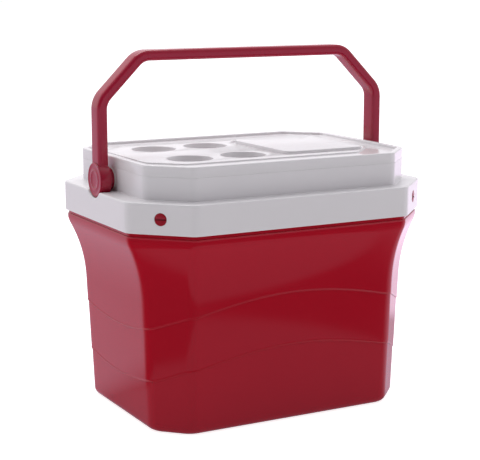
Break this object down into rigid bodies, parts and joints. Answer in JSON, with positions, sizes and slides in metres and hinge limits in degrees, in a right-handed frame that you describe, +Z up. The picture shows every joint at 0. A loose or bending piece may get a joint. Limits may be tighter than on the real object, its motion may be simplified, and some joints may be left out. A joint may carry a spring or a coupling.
{
  "type": "hand-carry cooler box",
  "caption": "Insulated hand-carry cooler box: octagonal flared tub, stepped collar, lift-off lid with cup recesses and a raised panel, and a swinging bail handle.",
  "frame": {"origin": "centre of the base, on the surface the box stands on", "axes": "+X along the long side, +Y to the back, +Z up; the front faces -Y"},
  "size_m": [0.5, 0.38, 0.5478],
  "materials": {
    "tub_red": "glossy moulded red plastic",
    "handle_red": "glossy moulded red plastic",
    "screw_red": "glossy moulded red plastic",
    "collar_white": "satin gloss white plastic",
    "lid_white": "satin gloss white plastic",
    "liner_white": "smooth white plastic",
    "foam": "rigid insulating foam, pale cream",
    "steel": "plain zinc-plated steel",
    "acetal": "off-white bearing plastic"
  },
  "bodies": {
    "box": {"outer_shell": "tub_red", "body_foam": "foam", "inner_liner": "liner_white", "collar": "collar_white", "pivot_pin_left": "steel", "pivot_pin_right": "steel", "pivot_washer_left": "acetal", "pivot_washer_right": "acetal", "pivot_bush_left": "acetal", "pivot_bush_right": "acetal", "pivot_clip_left": "steel", "pivot_clip_right": "steel", "screw_front_left": "screw_red", "screw_front_right": "screw_red", "screw_back_left": "screw_red", "screw_back_right": "screw_red", "anchor_front_left": "acetal", "anchor_front_right": "acetal", "anchor_back_left": "acetal", "anchor_back_right": "acetal"},
    "lid": {"lid_cover": "lid_white", "lid_foam": "foam", "lid_liner": "liner_white"},
    "bail": {"handle": "handle_red", "handle_cap_left": "handle_red", "handle_cap_right": "handle_red"}
  },
  "joints": [
    {"name": "handle_swing", "type": "hinge", "parent": "box", "child": "bail", "pos_m": [0, 0, 0.3605], "axis": [1, 0, 0], "range_deg": [-90, 90]},
    {"name": "lid_lift", "type": "slide", "parent": "box", "child": "lid", "axis": [0, 0, 1], "range_m": [0, 0.07]}
  ]
}
